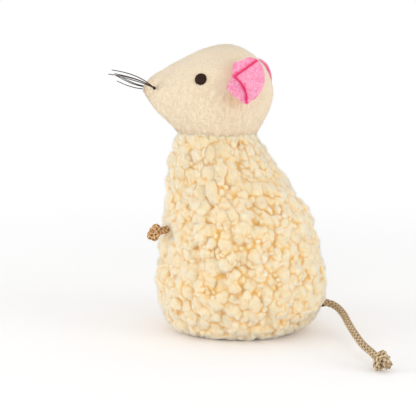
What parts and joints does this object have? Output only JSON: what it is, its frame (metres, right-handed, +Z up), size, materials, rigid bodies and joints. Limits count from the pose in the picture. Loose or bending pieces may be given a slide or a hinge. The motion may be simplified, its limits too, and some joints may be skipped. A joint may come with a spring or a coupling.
{
  "type": "catnip mouse toy",
  "caption": "Upright stuffed mouse cat toy with curly fleece body, smooth plush head, felt ears, thread whiskers, knotted cord paws and tail, and a catnip pouch in the base",
  "frame": {"origin": "on the flat underside of the base panel, at the middle of the body", "axes": "+Z up the body to the head, -Y towards the nose, +X the side of the mouse that faces the camera in the picture"},
  "size_m": [0.0831, 0.1029, 0.1045],
  "materials": {
    "sherpa_fleece": "curly cream pile fabric",
    "head_plush": "short smooth beige pile fabric",
    "base_cloth": "plain woven cream cloth",
    "fibre_fill": "loose white polyester fibre",
    "cotton_lining": "thin plain cotton",
    "catnip": null,
    "hook_loop_tape": "white hook and loop tape",
    "pink_felt": "soft matte pink felt",
    "eye_thread": "dark satin stitch",
    "whisker_thread": "dark stiffened thread",
    "brown_cord": "brown braided cord",
    "pale_cord": "pale braided cord"
  },
  "bodies": {
    "torso": {"body_panel_left": "sherpa_fleece", "body_panel_right": "sherpa_fleece", "base_panel": "base_cloth", "body_stuffing": "fibre_fill", "catnip_pouch": "cotton_lining", "catnip_fill": "catnip", "loop_strip": "hook_loop_tape", "tail_anchor": "pale_cord", "arm_anchor_left": "brown_cord", "arm_anchor_right": "brown_cord"},
    "head": {"head_panel_left": "head_plush", "head_panel_right": "head_plush", "head_stuffing": "fibre_fill", "eye_left": "eye_thread", "eye_right": "eye_thread", "whiskers_left": "whisker_thread", "whiskers_right": "whisker_thread"},
    "left_ear": {"ear_left": "pink_felt"},
    "right_ear": {"ear_right": "pink_felt"},
    "left_arm": {"arm_cord_left": "brown_cord", "arm_knot_left": "brown_cord"},
    "right_arm": {"arm_cord_right": "brown_cord", "arm_knot_right": "brown_cord"},
    "tail": {"tail_cord": "pale_cord", "tail_knot": "pale_cord"},
    "flap": {"flap_panel": "base_cloth", "hook_strip": "hook_loop_tape"}
  },
  "joints": [
    {"name": "head_nod", "type": "hinge", "parent": "torso", "child": "head", "pos_m": [0, -0.0076, 0.0728], "axis": [1, 0, 0], "range_deg": [-8, 8], "stiffness_Nm_per_rad": 0.03},
    {"name": "ear_left_bend", "type": "hinge", "parent": "head", "child": "left_ear", "pos_m": [0.01414, -0.00193, 0.09423], "axis": [0.4653, -0.1681, -0.8691], "range_deg": [-12, 35], "stiffness_Nm_per_rad": 0.0002},
    {"name": "ear_right_bend", "type": "hinge", "parent": "head", "child": "right_ear", "pos_m": [-0.015, -0.00193, 0.09193], "axis": [0.3477, 0.1781, 0.9205], "range_deg": [-12, 35], "stiffness_Nm_per_rad": 0.0002},
    {"name": "arm_left_swing", "type": "hinge", "parent": "torso", "child": "left_arm", "pos_m": [0.01057, -0.02325, 0.03931], "axis": [0, 0, 1], "range_deg": [-20, 20], "stiffness_Nm_per_rad": 0.0001},
    {"name": "arm_right_swing", "type": "hinge", "parent": "torso", "child": "right_arm", "pos_m": [-0.01569, -0.01907, 0.03931], "axis": [0, 0, -1], "range_deg": [-20, 20], "stiffness_Nm_per_rad": 0.0001},
    {"name": "tail_swing", "type": "hinge", "parent": "torso", "child": "tail", "pos_m": [0, 0.03259, 0.0105], "axis": [0, 0, 1], "range_deg": [-20, 115]},
    {"name": "flap_open", "type": "hinge", "parent": "torso", "child": "flap", "pos_m": [0, 0.014, 0.0004], "axis": [1, 0, 0], "range_deg": [0, 100]}
  ]
}
